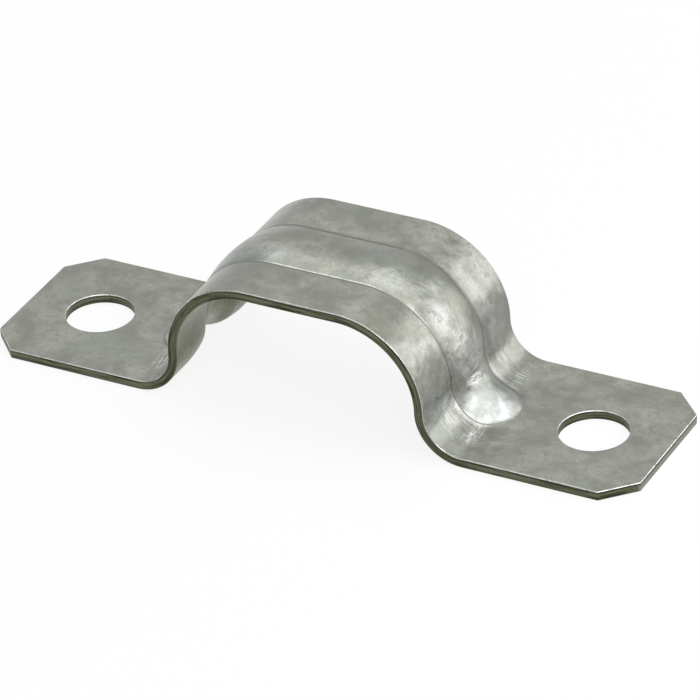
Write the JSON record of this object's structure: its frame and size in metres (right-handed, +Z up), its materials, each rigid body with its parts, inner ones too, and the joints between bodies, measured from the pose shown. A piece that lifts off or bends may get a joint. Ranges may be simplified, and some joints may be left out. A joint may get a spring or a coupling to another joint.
{
  "type": "conduit strap",
  "caption": "Flat-crowned strap of galvanised sheet steel that bridges a cable or conduit, with clipped flat feet, a screw hole in each and one rib pressed along its middle.",
  "frame": {"origin": "on the plane of the feet's undersides, midway between the two screw holes and midway across the strip", "axes": "+X along the strip from foot to foot, +Y across the strip and along the cable that it holds, +Z up from the mounting surface"},
  "size_m": [0.0712, 0.019, 0.0147],
  "materials": {
    "galvanised_sheet": "galvanised, dull mottled grey, brighter where the press rubbed it"
  },
  "bodies": {
    "root": {"strap": "galvanised_sheet"}
  },
  "joints": []
}
